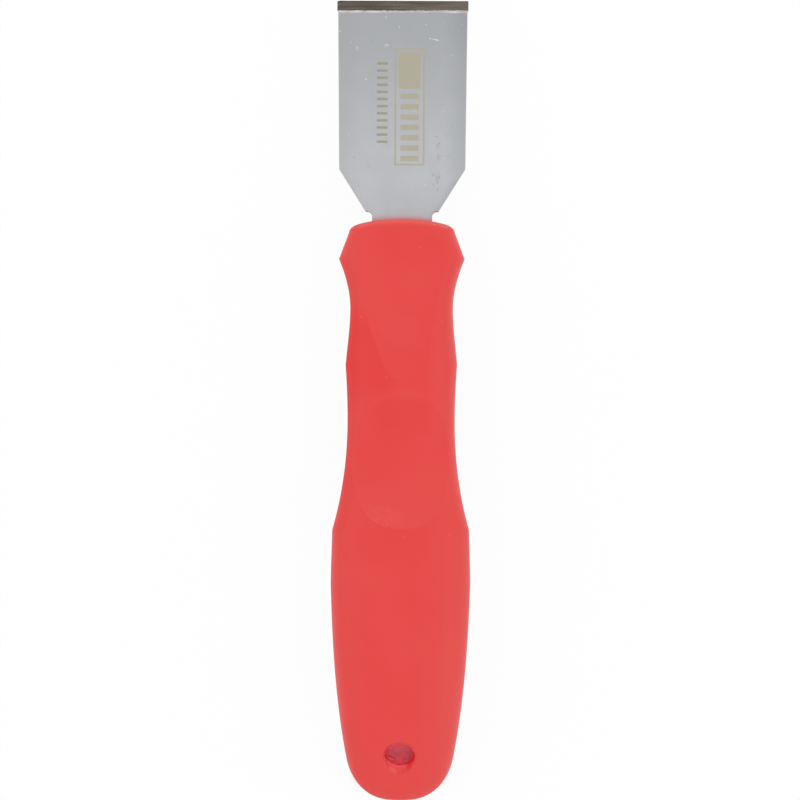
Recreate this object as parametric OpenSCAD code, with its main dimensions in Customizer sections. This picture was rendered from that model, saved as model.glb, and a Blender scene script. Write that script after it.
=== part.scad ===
// Carbide scraper: a flat steel blade with a carbide strip brazed into its end,
// moulded into a one-piece plastic handle with a thumb dish on both faces.
// Lies flat: X across the blade, +Y towards the cutting edge, +Z up, millimetres.
// Distances called "back" run from the cutting edge towards the butt of the handle.

/* [Blade] */
// Width of the steel at the cutting end
blade_w = 30; // [24:0.5:36]
// Width of the steel at its shoulders
shoulder_w = 29.3; // [22:0.1:36]
// Thickness of the steel
blade_t = 2; // [1.6:0.1:3]
// Distance from the cutting edge back to the shoulders
head_len = 39; // [30:0.1:50]
// Length of the taper behind the shoulders
taper_len = 9.9; // [6:0.1:16]
// Width at the foot of the taper
foot_w = 16.9; // [16.5:0.1:20]
// Length of bare neck between the taper and the handle
neck_len = 2.2; // [1.4:0.1:6]
// Width of the neck and of the tang hidden in the handle
tang_w = 14; // [10:0.1:14]
// Radius in the corners between the taper and the neck
notch_r = 1.1; // [0.4:0.1:1.2]
// Length of the tang inside the handle
tang_len = 56; // [50:1:80]
// Diameter of the two holes through the tang that the plastic fills
anchor_d = 6; // [3:0.5:8]
// Distance between the two anchor holes
anchor_gap = 24; // [14:1:30]
// Distance from the end of the tang to the nearer anchor hole
anchor_inset = 12; // [8:1:16]
// Corner radius at the hidden end of the tang
tang_r = 3; // [1:0.5:4.5]

/* [Carbide and braze] */
// Length of the carbide strip, seen from above
strip_len = 2.3; // [1.8:0.1:4]
// Thickness of the carbide strip
strip_t = 1.15; // [1:0.05:1.4]
// How far the strip stands out past each side of the steel
strip_overhang = 0.2; // [0:0.05:0.5]
// How far the ground underside of the strip leans back from the cutting edge
edge_relief = 0.25; // [0.1:0.05:0.5]
// How far the strip reaches out in front of the steel ledge that carries it
ledge_setback = 0.9; // [0.6:0.1:1.2]
// Width of the solder seam behind the strip
seam_w = 0.5; // [0.3:0.05:1]
// Thickness of the solder layer under the strip
seam_t = 0.15; // [0.1:0.05:0.3]
// Height of the solder bead above the steel
bead_h = 0.12; // [0.05:0.01:0.3]

/* [Handle lengths] */
// From the front face back to the widest line of the collar
face_to_collar = 8.9; // [7:0.1:12]
// From the collar line to the waist behind it
collar_to_waist = 11.5; // [9:0.1:16]
// From the waist to the finger ridge
waist_to_ridge = 13; // [10:0.1:18]
// From the finger ridge to the grip beside the thumb dish
ridge_to_grip = 12.9; // [10:0.1:18]
// From the grip to the shoulder of the belly
grip_to_shoulder = 25.4; // [20:0.1:34]
// From the shoulder to the widest line of the belly
shoulder_to_belly = 12.8; // [8:0.1:20]
// From the belly line to the middle of the hang hole
belly_to_hole = 39.3; // [30:0.1:60]
// From the middle of the hang hole to the end of the butt
hole_to_end = 10.5; // [8:0.1:14]
// Length over which the butt rounds off
butt_len = 10; // [7:0.1:14]

/* [Handle widths] */
// Width of the collar where it meets its rounded front rim
face_w = 24.6; // [20:0.1:27]
// Width over the collar line
collar_w = 29.1; // [26:0.05:34]
// Width at the waist
waist_w = 23.8; // [20:0.1:26]
// Width over the finger ridge
ridge_w = 25.9; // [22:0.1:30]
// Width at the grip beside the thumb dish
grip_w = 24.85; // [20:0.05:28]
// Width at the shoulder of the belly
shoulder_belly_w = 31.8; // [28:0.05:36]
// Width over the belly line
belly_w = 32.4; // [28:0.1:38]
// Width across the hang hole, before the butt rounds off
hole_w = 25.1; // [18:0.05:30]
// How much the front face bows forward over the width of the collar
face_bow = 1.6; // [0:0.1:2]
// Radius of the rounded rim round the front face
rim_r = 1.6; // [0.5:0.1:2]

/* [Handle thickness] */
// Thickness of the belly, and of the front rim that the tool also lies on
belly_t = 20; // [18:0.1:24]
// Thickness over the collar line, before the finger groove is cut
collar_t = 21.8; // [20:0.1:26]
// Thickness over the finger ridge
ridge_t = 19.9; // [17:0.1:22]
// Thickness of the grip behind the finger ridge, before the dish is cut
grip_t = 19.7; // [17:0.1:22]
// Thickness across the hang hole, before the butt rounds off
hole_t = 18.6; // [12:0.1:20]

/* [Handle cuts] */
// Length of the thumb dish
dish_len = 31.1; // [24:0.1:36]
// Depth of the thumb dish
dish_depth = 3; // [1:0.1:4]
// Radius of the hollow of the thumb dish, across the handle
dish_hollow_r = 130; // [60:5:200]
// How far the thumb dish starts behind the line of the finger ridge
dish_start = 6.4; // [5:0.1:10]
// Depth of the finger groove between the front rim and the ridge
groove_depth = 0.7; // [0.3:0.05:1.5]
// How far the tip of the finger groove reaches behind the line of the ridge
groove_tip = 2.9; // [0:0.1:4]
// Diameter of the hang hole
hole_d = 7.2; // [4:0.1:9]

/* [Hidden] */
$fn = 96;
// Points round each section of the handle
SECTION_POINTS = 48;
// Squareness of the sections: 2 is an ellipse, higher is squarer
COLLAR_SQUARE = 3.6;
WAIST_SQUARE = 3.2;
RIDGE_SQUARE = 2.5;
GRIP_SQUARE = 3.4;
BELLY_SQUARE = 2.5;
HOLE_SQUARE = 2.4;
// How suddenly the butt starts to round off, and how blunt its end is
BUTT_ONSET = 2.2;
BUTT_BLUNT = 2.8;
// Enough to cut clean through
THROUGH = 60;
// Overlap where two parts of one outline join
JOIN = 0.01;

// Places along the tool, measured back from the cutting edge
foot_at = head_len + taper_len;
face_at = foot_at + neck_len;
collar_at = face_at + face_to_collar;
waist_at = collar_at + collar_to_waist;
ridge_at = waist_at + waist_to_ridge;
grip_at = ridge_at + ridge_to_grip;
shoulder_at = grip_at + grip_to_shoulder;
belly_at = shoulder_at + shoulder_to_belly;
hole_at = belly_at + belly_to_hole;
end_at = hole_at + hole_to_end;
butt_at = end_at - butt_len;
rim_at = face_at + rim_r;
tang_end = face_at + tang_len;
length = end_at;
mid_z = belly_t / 2;
steel_at = strip_len + seam_w;

// Heights of the steel's faces, and of the ledge that carries the strip
steel_z = mid_z - blade_t / 2;
steel_top = mid_z + blade_t / 2;
bead_top = steel_top + bead_h;
strip_z = steel_top + bead_h / 2 - strip_t;
ledge_z = strip_z - seam_t;

// Turns a distance back from the cutting edge into Y
function y_at(back) = length / 2 - back;

// Cubic curve between stations [place, value, slope before, slope after]
function curve(p, q, s) =
    let (h = q[0] - p[0], t = (s - p[0]) / h)
    p[1] * (1 + 2 * t) * (1 - t) * (1 - t) + p[3] * h * t * (1 - t) * (1 - t)
    + q[1] * t * t * (3 - 2 * t) + q[2] * h * t * t * (t - 1);

// Value at place s of a curve through a list of stations
function along(stations, s) =
    let (last = len(stations) - 2, k = max([for (i = [0 : last]) if (i == 0 || s >= stations[i][0]) i]))
    curve(stations[k], stations[k + 1], s);

// Half widths of the handle, with the collar line and the ridge left as sharp vertices
WIDTHS = [
    [rim_at, face_w / 2, 0, 0.35],
    [collar_at, collar_w / 2, 0.28, -0.42],
    [waist_at, waist_w / 2, 0, 0],
    [ridge_at, ridge_w / 2, 0.085, -0.07],
    [grip_at, grip_w / 2, 0, 0],
    [shoulder_at, shoulder_belly_w / 2, 0.285, 0.02],
    [belly_at, belly_w / 2, 0, -0.03],
    [hole_at, hole_w / 2, -0.19, -0.19],
    [end_at, hole_w / 2 - 0.19 * hole_to_end, -0.19, 0]
];
// Half thicknesses of the handle
HEIGHTS = [
    [rim_at, belly_t / 2, 0, 0.15],
    [collar_at, collar_t / 2, 0, -0.05],
    [ridge_at, ridge_t / 2, 0, 0],
    [grip_at, grip_t / 2, 0, 0],
    [belly_at, belly_t / 2, 0, 0],
    [hole_at, hole_t / 2, -0.03, -0.03],
    [end_at, hole_t / 2 - 0.03 * hole_to_end, -0.03, 0]
];
// Squareness of the sections along the handle
SQUARES = [
    [rim_at, COLLAR_SQUARE, 0, 0],
    [waist_at, WAIST_SQUARE, 0, 0],
    [ridge_at, RIDGE_SQUARE, 0, 0],
    [grip_at, GRIP_SQUARE, 0, 0],
    [shoulder_at, BELLY_SQUARE, 0, 0],
    [end_at, HOLE_SQUARE, 0, 0]
];

// Share of the full size left where the butt rounds off
function butt_share(s) =
    s <= butt_at ? 1 : pow(1 - pow((s - butt_at) / butt_len, BUTT_ONSET), 1 / BUTT_BLUNT);

// One section of the handle: a superellipse, bowed forward in the middle near the front face
function section(s, half_w, half_t, square) = [
    for (k = [0 : SECTION_POINTS - 1])
        let (
            c = cos(360 * k / SECTION_POINTS),
            v = sin(360 * k / SECTION_POINTS),
            x = half_w * sign(c) * pow(abs(c), 2 / square),
            z = half_t * sign(v) * pow(abs(v), 2 / square),
            bow = face_bow * max(0, collar_at - s) / face_to_collar * pow(2 * x / face_w, 2)
        )
        [x, y_at(s + bow), mid_z + z]
];

function body_section(s) =
    section(s, along(WIDTHS, s) * butt_share(s), along(HEIGHTS, s) * butt_share(s), along(SQUARES, s));

// Front face and its rim: the first section drawn in, then brought out round a quarter circle
function face_section(share) =
    section(face_at, (face_w / 2 - rim_r) * share, (belly_t / 2 - rim_r) * share, COLLAR_SQUARE);
function rim_section(turn) =
    let (inset = rim_r * (1 - sin(turn)))
    section(rim_at - rim_r * cos(turn), face_w / 2 - inset, belly_t / 2 - inset, COLLAR_SQUARE);

// Places from p up to, but not including, q
function steps(p, q, count) = [for (i = [0 : count - 1]) p + (q - p) * i / count];

BODY_PLACES = concat(
    steps(rim_at, collar_at, 5),
    steps(collar_at, waist_at, 7),
    steps(waist_at, ridge_at, 6),
    steps(ridge_at, grip_at, 5),
    steps(grip_at, shoulder_at, 10),
    steps(shoulder_at, belly_at, 4),
    steps(belly_at, butt_at, 9),
    [for (i = [0 : 8]) butt_at + butt_len * sin(10 * i)]
);
SECTIONS = concat(
    [for (share = [1 / 3, 2 / 3]) face_section(share)],
    [for (turn = [0 : 22.5 : 67.5]) rim_section(turn)],
    [for (s = BODY_PLACES) body_section(s)]
);

// The handle before anything is cut into it: a loft through all its sections
module handle_loft() {
    rows = len(SECTIONS);
    n = SECTION_POINTS;
    points = concat(
        [for (row = SECTIONS) for (p = row) p],
        [[0, y_at(face_at), mid_z], [0, y_at(end_at), mid_z]]
    );
    skin = [
        for (r = [0 : rows - 2]) for (k = [0 : n - 1]) for (half = [0, 1])
            let (a = r * n + k, b = r * n + (k + 1) % n)
            half == 0 ? [a, b, b + n] : [a, b + n, a + n]
    ];
    front = [for (k = [0 : n - 1]) [rows * n, (k + 1) % n, k]];
    butt = [for (k = [0 : n - 1]) [rows * n + 1, (rows - 1) * n + k, (rows - 1) * n + (k + 1) % n]];
    polyhedron(points, concat(skin, front, butt));
}

// Radius of the arc over a span that is this deep in the middle
function arc_r(span, depth) = (span * span / 4 + depth * depth) / (2 * depth);

// Puts a cutter's axis across the handle, so that it cuts this deep below the upper face
module over_face(middle, radius, depth) {
    translate([0, y_at(middle), mid_z + belly_t / 2 - depth + radius])
        rotate([0, 90, 0])
            children();
}

// The thumb dish: a barrel laid across the handle, hollow both ways
module thumb_dish() {
    radius = arc_r(dish_len, dish_depth);
    over_face(ridge_at + dish_start + dish_len / 2, radius, dish_depth)
        rotate_extrude($fn = 360)
            intersection() {
                translate([radius - dish_hollow_r, 0])
                    circle(r = dish_hollow_r, $fn = 720);
                translate([0, -THROUGH / 2])
                    square([radius, THROUGH]);
            }
}

// The finger groove: a shallow cylinder straight across, from the front rim to the ridge
module finger_groove() {
    tip_at = ridge_at + groove_tip;
    radius = arc_r(tip_at - rim_at, groove_depth);
    over_face((rim_at + tip_at) / 2, radius, groove_depth)
        cylinder(r = radius, h = THROUGH, center = true, $fn = 720);
}

module hang_hole() {
    translate([0, y_at(hole_at), mid_z])
        cylinder(d = hole_d, h = THROUGH, center = true);
}

// The blade's outline, from the steel's front end to the foot of the taper
module head_outline() {
    polygon([
        [-blade_w / 2, y_at(steel_at)],
        [-shoulder_w / 2, y_at(head_len)],
        [-foot_w / 2, y_at(foot_at)],
        [foot_w / 2, y_at(foot_at)],
        [shoulder_w / 2, y_at(head_len)],
        [blade_w / 2, y_at(steel_at)]
    ]);
}

// Rounded corner between the foot of the taper and the neck
module notch_fillet() {
    difference() {
        translate([tang_w / 2 - JOIN, y_at(foot_at) - notch_r])
            square([notch_r + JOIN, notch_r + JOIN]);
        translate([tang_w / 2 + notch_r, y_at(foot_at) - notch_r])
            circle(r = notch_r);
    }
}

// The neck and the tang behind it, with its anchor holes
module tang_outline() {
    difference() {
        union() {
            translate([-tang_w / 2, y_at(tang_end - tang_r)])
                square([tang_w, tang_end - tang_r - foot_at + JOIN]);
            translate([-tang_w / 2 + tang_r, y_at(tang_end)])
                square([tang_w - 2 * tang_r, tang_r + JOIN]);
            for (side = [-1, 1])
                translate([side * (tang_w / 2 - tang_r), y_at(tang_end - tang_r)])
                    circle(r = tang_r);
        }
        for (hole = [anchor_inset, anchor_inset + anchor_gap])
            translate([0, y_at(tang_end - hole)])
                circle(d = anchor_d);
    }
}

// The steel from the seam back, at full thickness
module blade_plate() {
    translate([0, 0, steel_z])
        linear_extrude(blade_t) {
            head_outline();
            tang_outline();
            notch_fillet();
            mirror([1, 0]) notch_fillet();
        }
}

module blade() {
    color([0.72, 0.73, 0.74]) {
        blade_plate();
        translate([-blade_w / 2, y_at(steel_at), steel_z])
            cube([blade_w, steel_at - ledge_setback, ledge_z - steel_z]);
    }
}

// Sweeps an outline drawn as [place back, height] along X
module across(width) {
    translate([-width / 2, y_at(0), 0])
        rotate([90, 0, 90])
            linear_extrude(width)
                scale([-1, 1]) children();
}

module carbide_tip() {
    color([0.36, 0.33, 0.30])
        across(blade_w + 2 * strip_overhang)
            polygon([
                [0, strip_z + strip_t],
                [strip_len, strip_z + strip_t],
                [strip_len, strip_z],
                [edge_relief, strip_z]
            ]);
}

module braze_seam() {
    color([0.84, 0.83, 0.82])
        across(blade_w)
            polygon([
                [ledge_setback, ledge_z],
                [ledge_setback, strip_z],
                [strip_len, strip_z],
                [strip_len, bead_top],
                [strip_len + seam_w / 2, bead_top],
                [steel_at, steel_top],
                [steel_at, ledge_z]
            ]);
}

module handle() {
    color([0.89, 0.30, 0.29])
        difference() {
            handle_loft();
            for (turn = [0, 180])
                translate([0, 0, mid_z]) rotate([0, turn, 0]) translate([0, 0, -mid_z]) {
                    thumb_dish();
                    finger_groove();
                }
            hang_hole();
            blade_plate();
        }
}

blade();
carbide_tip();
braze_seam();
handle();
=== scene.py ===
"""Looks of a carbide scraper: moulded handle, ground steel blade, solder seam, carbide strip.

Lengths are in millimetres in the part's frame until a mesh is made: X across the blade, +Y towards
the cutting edge, +Z up. Places called "back" run from the cutting edge towards the butt.
"""

import bpy
import numpy as np
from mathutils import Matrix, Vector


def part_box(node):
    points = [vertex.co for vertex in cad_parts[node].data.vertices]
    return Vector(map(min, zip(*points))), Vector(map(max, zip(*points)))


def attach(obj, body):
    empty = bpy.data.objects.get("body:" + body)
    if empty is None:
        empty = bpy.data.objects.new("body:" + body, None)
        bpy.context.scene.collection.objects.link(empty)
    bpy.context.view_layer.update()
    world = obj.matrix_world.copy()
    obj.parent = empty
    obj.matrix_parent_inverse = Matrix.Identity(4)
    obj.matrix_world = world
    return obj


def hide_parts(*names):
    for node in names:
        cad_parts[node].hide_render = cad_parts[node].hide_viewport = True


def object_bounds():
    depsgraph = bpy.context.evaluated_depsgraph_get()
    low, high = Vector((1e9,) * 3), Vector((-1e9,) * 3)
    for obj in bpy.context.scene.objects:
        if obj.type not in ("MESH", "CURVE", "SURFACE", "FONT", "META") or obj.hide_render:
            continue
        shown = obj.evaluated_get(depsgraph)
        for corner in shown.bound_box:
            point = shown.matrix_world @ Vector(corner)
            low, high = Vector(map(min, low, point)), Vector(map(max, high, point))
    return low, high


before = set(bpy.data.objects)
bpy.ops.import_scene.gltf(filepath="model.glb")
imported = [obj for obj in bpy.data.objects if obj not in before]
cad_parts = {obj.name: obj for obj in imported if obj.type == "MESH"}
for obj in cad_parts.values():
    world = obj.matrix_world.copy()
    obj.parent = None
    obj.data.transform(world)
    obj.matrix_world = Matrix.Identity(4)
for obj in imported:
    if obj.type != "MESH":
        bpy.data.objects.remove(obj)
cad_low, cad_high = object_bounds()

MM = 0.001


def node_box(name):
    """Lowest and highest corner of a CAD node, in millimetres."""
    low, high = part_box(name)
    return np.array(low) / MM, np.array(high) / MM


HANDLE_LOW, HANDLE_HIGH = node_box("handle")
BLADE_LOW, BLADE_HIGH = node_box("blade")
TIP_LOW, TIP_HIGH = node_box("carbide_tip")
SEAM_LOW, SEAM_HIGH = node_box("braze_seam")

# The cutting edge, the tool's mid plane, and the height over that plane which cuts are measured from
FRONT_Y = cad_high[1] / MM
MID_Z = (cad_low[2] + cad_high[2]) / 2 / MM
LEVEL = cad_high[2] / MM - MID_Z


def back_of(y):
    """Distance back from the cutting edge of a place Y."""
    return FRONT_Y - y


# Handle: driving sizes

RIM_R = 1.6
FACE_HALF = 12.3
FACE_BOW = 1.6
FACE_SQUARE = 3.6
FACE_AT = back_of(HANDLE_HIGH[1])
RIM_AT = FACE_AT + RIM_R
COLLAR_AT = FACE_AT + 8.9
WAIST_AT = COLLAR_AT + 11.5
RIDGE_AT = WAIST_AT + 13
GRIP_AT = RIDGE_AT + 12.9
SHOULDER_AT = GRIP_AT + 25.4
BELLY_AT = SHOULDER_AT + 12.8
HOLE_AT = BELLY_AT + 39.3
HOLE_R = 3.6
LIP_R = 0.7
HOLE_HALF_WIDTH = 12.55
HOLE_HALF_HEIGHT = 9.3
END_AT = back_of(HANDLE_LOW[1])
BUTT_LEN = 10
BUTT_AT = END_AT - BUTT_LEN
BUTT_ONSET = 2.2
BUTT_BLUNT = 2.8
BUTT_NARROWING = 0.19
BUTT_THINNING = 0.03

# Stations of the handle: place back, value, slope before, slope after
HALF_WIDTHS = [
    (RIM_AT, FACE_HALF, 0, 0.35),
    (COLLAR_AT, 14.55, 0.28, -0.42),
    (WAIST_AT, 11.9, 0, 0),
    (RIDGE_AT, 12.95, 0.085, -0.07),
    (GRIP_AT, 12.425, 0, 0),
    (SHOULDER_AT, 15.9, 0.285, 0.02),
    (BELLY_AT, HANDLE_HIGH[0], 0, -0.03),
    (HOLE_AT, HOLE_HALF_WIDTH, -BUTT_NARROWING, -BUTT_NARROWING),
    (END_AT, HOLE_HALF_WIDTH - BUTT_NARROWING * (END_AT - HOLE_AT), -BUTT_NARROWING, 0),
]
HALF_HEIGHTS = [
    (RIM_AT, 10, 0, 0.15),
    (COLLAR_AT, 10.9, 0, -0.05),
    (RIDGE_AT, 9.95, 0, 0),
    (GRIP_AT, 9.85, 0, 0),
    (BELLY_AT, 10, 0, 0),
    (HOLE_AT, HOLE_HALF_HEIGHT, -BUTT_THINNING, -BUTT_THINNING),
    (END_AT, HOLE_HALF_HEIGHT - BUTT_THINNING * (END_AT - HOLE_AT), -BUTT_THINNING, 0),
]
SQUARENESS = [
    (RIM_AT, FACE_SQUARE, 0, 0),
    (WAIST_AT, 3.2, 0, 0),
    (RIDGE_AT, 2.5, 0, 0),
    (GRIP_AT, 3.4, 0, 0),
    (SHOULDER_AT, 2.5, 0, 0),
    (END_AT, 2.4, 0, 0),
]

# Cuts in both faces: the thumb dish, hollow across too, and the finger groove, all but flat across
DISH_START = RIDGE_AT + 6.4
DISH_LEN = 31.1
DISH_END = DISH_START + DISH_LEN
DISH_DEPTH = 3
DISH_HOLLOW_R = 130
GROOVE_START = RIM_AT
GROOVE_LEN = RIDGE_AT + 2.9 - RIM_AT
GROOVE_DEPTH = 0.7
GROOVE_HOLLOW_R = 1e4
CUT_SOFTNESS = 0.12

# Stretches of the handle's skin behind its rim, each with its number of sections
NEAR_HOLE_AT = HOLE_AT - 5
STRETCHES = [
    (RIM_AT, COLLAR_AT, 20),
    (COLLAR_AT, WAIST_AT, 22),
    (WAIST_AT, RIDGE_AT, 26),
    (RIDGE_AT, DISH_START, 12),
    (DISH_START, DISH_END, 60),
    (DISH_END, BELLY_AT, 18),
    (BELLY_AT, NEAR_HOLE_AT, 42),
    (NEAR_HOLE_AT, BUTT_AT, 24),
]

# The butt's sections lie at the sines of angles that rise evenly to the last one's
BUTT_SECTIONS = 46
LAST_SECTION_DEGREES = 89.4

# Rings of the hang hole's cutter, in shares of LEVEL off the mid plane, closest at the hole's lips
BORE_RINGS = np.array([-2, -0.84, -0.8, -0.7, -0.4, 0, 0.4, 0.7, 0.8, 0.84, 2])
BORE_COLUMNS = 160

# Mouth of the tang's slot: half the neck's width, the gap round the steel, how deep the slot is cut
# behind the face, and how far its cutter stands out ahead of it
NECK_HALF = 7
SLOT_GAP = 0.06
SLOT_DEPTH = 4
SLOT_AHEAD = 1


# Mesh helpers

def put_in_scene(name, data):
    """A new object in the scene, made of a mesh, a lamp or a camera."""
    made = bpy.data.objects.new(name, data)
    bpy.context.scene.collection.objects.link(made)
    return made


def mesh_object(name, points, faces):
    """A new mesh object in the scene, from points in millimetres."""
    mesh = bpy.data.meshes.new(name)
    mesh.from_pydata((np.asarray(points) * MM).tolist(), [], faces)
    return put_in_scene(name, mesh)


def dress(piece, node):
    """Rides a piece on the part and hides the CAD node whose place it takes."""
    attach(piece, "root")
    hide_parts(node)


def make_piece(name, points, faces, slot, node):
    """A mesh object from points in millimetres, riding on the part and standing for one CAD node."""
    piece = mesh_object(name, points, faces)
    piece.data.validate()
    dress(piece, node)
    return piece


def smooth(piece, sharp_degrees):
    """Smooth shading, with edges sharper than the angle left crisp."""
    mesh = piece.data
    mesh.polygons.foreach_set("use_smooth", np.ones(len(mesh.polygons), bool))
    mesh.set_sharp_from_angle(angle=np.radians(sharp_degrees))


def face_out(piece):
    """Turns a closed piece's faces outwards, where its signed volume says that they point in."""
    mesh = piece.data
    points = np.empty(len(mesh.vertices) * 3)
    mesh.vertices.foreach_get("co", points)
    points = points.reshape(-1, 3)
    mesh.calc_loop_triangles()
    corners = np.empty(len(mesh.loop_triangles) * 3, np.int32)
    mesh.loop_triangles.foreach_get("vertices", corners)
    a, b, c = points[corners.reshape(-1, 3)].transpose(1, 0, 2)
    if np.einsum("ij,ij->i", a, np.cross(b, c)).sum() < 0:
        mesh.flip_normals()


def tube_faces(rows, columns):
    """Quads of a grid of points closed round its columns, row after row."""
    r, k = np.meshgrid(np.arange(rows - 1), np.arange(columns), indexing="ij")
    a = r * columns + k
    b = r * columns + (k + 1) % columns
    return np.stack([a, b, b + columns, a + columns], -1).reshape(-1, 4).tolist()


def fan_faces(pole, ring, columns, turned):
    """Triangles from a pole point to the closed ring that starts at point ring."""
    k = np.arange(columns)
    pair = [ring + k, ring + (k + 1) % columns]
    if turned:
        pair.reverse()
    return np.stack([np.full(columns, pole), *pair], -1).tolist()


def carried_along_x(x, profile):
    """A closed bar with a ring at each place x, of the profile's points Y, Z: numbers, or arrays over x."""
    stations, columns = len(x), len(profile)
    grid = np.array([[x, np.broadcast_to(y, stations), np.broadcast_to(z, stations)] for y, z in profile])
    last = (stations - 1) * columns
    faces = tube_faces(stations, columns)
    faces += [list(range(columns)), list(range(last, last + columns))[::-1]]
    return grid.transpose(2, 0, 1).reshape(-1, 3), faces


def cylinder_mesh(x, y, levels, radius, count):
    """A closed upright cylinder with a ring of points at each level."""
    turn = np.linspace(0, 2 * np.pi, count, endpoint=False)
    z, t = np.meshgrid(levels, turn, indexing="ij")
    points = np.stack([x + radius * np.cos(t), y + radius * np.sin(t), z], -1).reshape(-1, 3)
    last = (len(levels) - 1) * count
    faces = tube_faces(len(levels), count) + [list(range(count))[::-1], list(range(last, last + count))]
    return points, faces


def box_mesh(low, high):
    """A closed box between two corners."""
    x, y, z = zip(low, high)
    points = [[x[i], y[j], z[k]] for k in (0, 1) for j in (0, 1) for i in (0, 1)]
    faces = [[0, 2, 3, 1], [4, 5, 7, 6], [0, 1, 5, 4], [2, 6, 7, 3], [0, 4, 6, 2], [1, 3, 7, 5]]
    return points, faces


def baked(piece):
    """Applies a piece's modifiers to its mesh."""
    seen = piece.evaluated_get(bpy.context.evaluated_depsgraph_get())
    mesh = bpy.data.meshes.new_from_object(seen)
    piece.modifiers.clear()
    piece.data = mesh


def carve(piece, points, faces):
    """Cuts a closed shape, given in millimetres, out of a piece."""
    cutter = mesh_object("cutter", points, faces)
    cut = piece.modifiers.new("carve", "BOOLEAN")
    cut.operation = "DIFFERENCE"
    cut.solver = "EXACT"
    cut.object = cutter
    baked(piece)
    bpy.data.objects.remove(cutter)


# Handle: shape

def along(stations, back):
    """Cubic curve through stations with the slopes given before and after each, at places back."""
    table = np.array(stations, float)
    k = np.clip(np.searchsorted(table[:, 0], back, "right") - 1, 0, len(table) - 2)
    p, q = table[k], table[k + 1]
    span = q[..., 0] - p[..., 0]
    t = (back - p[..., 0]) / span
    start = p[..., 1] * (1 + 2 * t) * (1 - t) ** 2 + p[..., 3] * span * t * (1 - t) ** 2
    return start + q[..., 1] * t * t * (3 - 2 * t) + q[..., 2] * span * t * t * (t - 1)


def butt_share(back):
    """Share of the full section left where the butt rounds off, a superellipse to nothing at the end."""
    t = np.clip((back - BUTT_AT) / BUTT_LEN, 0, 1)
    return (1 - t ** BUTT_ONSET) ** (1 / BUTT_BLUNT)


def arc_r(span, depth):
    """Radius of the arc over a span that is this deep in the middle."""
    return (span * span / 4 + depth * depth) / (2 * depth)


def cut_height(back, x, start, span, depth, hollow_r):
    """Height over the mid plane of a barrel laid across the handle.

    Its radius at x is that of the cut's arc less the sag of an arc of hollow_r.
    """
    radius = arc_r(span, depth)
    barrel = radius - hollow_r + np.sqrt(hollow_r ** 2 - x ** 2)
    away = np.clip(back - start - span / 2, -barrel, barrel)
    return LEVEL - depth + radius - np.sqrt(barrel ** 2 - away ** 2)


def soft_min(a, b, softness):
    """The lower of two heights, with the crease between them rounded over that height."""
    h = np.clip(0.5 + 0.5 * (b - a) / softness, 0, 1)
    return b + (a - b) * h - softness * h * (1 - h)


def lip_drop(back, x):
    """Drop of the face beside the hang hole, a quarter circle that meets the bore upright."""
    inward = np.clip(HOLE_R + LIP_R - np.hypot(back - HOLE_AT, x), 0, LIP_R)
    return LIP_R - np.sqrt(LIP_R ** 2 - inward ** 2)


def handle_surface(back, half_width, half_height, square, turn):
    """Superellipse section by direction angle turn, lowered to the cuts in both faces, bowed in front."""
    c, v = np.cos(turn), np.sin(turn)
    reach = (np.abs(c) ** square + np.abs(v) ** square) ** (-1 / square)
    x = half_width * reach * c
    rise = half_height * reach * np.abs(v)
    dish = cut_height(back, x, DISH_START, DISH_LEN, DISH_DEPTH, DISH_HOLLOW_R)
    groove = cut_height(back, x, GROOVE_START, GROOVE_LEN, GROOVE_DEPTH, GROOVE_HOLLOW_R)
    rise = soft_min(soft_min(rise, dish, CUT_SOFTNESS), groove, CUT_SOFTNESS)
    rise = rise - np.minimum(lip_drop(back, x), rise)
    bow = FACE_BOW * np.clip(COLLAR_AT - back, 0, None) / (COLLAR_AT - FACE_AT) * (x / FACE_HALF) ** 2
    return np.stack(np.broadcast_arrays(x, FRONT_Y - back - bow, MID_Z + rise * np.sign(v)), -1)


def handle_places():
    """Places of the sections behind the rim: even in each stretch, then ever closer in the butt."""
    even = [np.linspace(a, b, count, endpoint=False) for a, b, count in STRETCHES]
    turn = np.radians(np.linspace(0, LAST_SECTION_DEGREES, BUTT_SECTIONS))
    return np.concatenate([*even, BUTT_AT + BUTT_LEN * np.sin(turn)])


def handle_mesh(columns=320, face_rings=6, rim_rings=9):
    """The handle's skin: front face drawn in, rim turned round a quarter circle, body loft, butt pole."""
    turn = np.linspace(0, 2 * np.pi, columns, endpoint=False)[None, :]
    share = np.linspace(0, 1, face_rings + 2)[1:-1, None]
    roll = np.linspace(0, np.pi / 2, rim_rings, endpoint=False)[:, None]
    inset = RIM_R * (1 - np.sin(roll))
    rim_at = RIM_AT - RIM_R * np.cos(roll)
    face = handle_surface(FACE_AT, (FACE_HALF - RIM_R) * share, (LEVEL - RIM_R) * share, FACE_SQUARE, turn)
    rim = handle_surface(rim_at, FACE_HALF - inset, LEVEL - inset, FACE_SQUARE, turn)
    back = handle_places()[:, None]
    body = handle_surface(back, along(HALF_WIDTHS, back) * butt_share(back),
                          along(HALF_HEIGHTS, back) * butt_share(back), along(SQUARENESS, back), turn)
    grid = np.concatenate([face, rim, body])
    rows = len(grid)
    poles = [[0, FRONT_Y - FACE_AT, MID_Z], [0, FRONT_Y - END_AT, MID_Z]]
    points = np.concatenate([grid.reshape(-1, 3), poles])
    faces = tube_faces(rows, columns)
    faces += fan_faces(rows * columns, 0, columns, True)
    faces += fan_faces(rows * columns + 1, (rows - 1) * columns, columns, False)
    return points, faces


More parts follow.
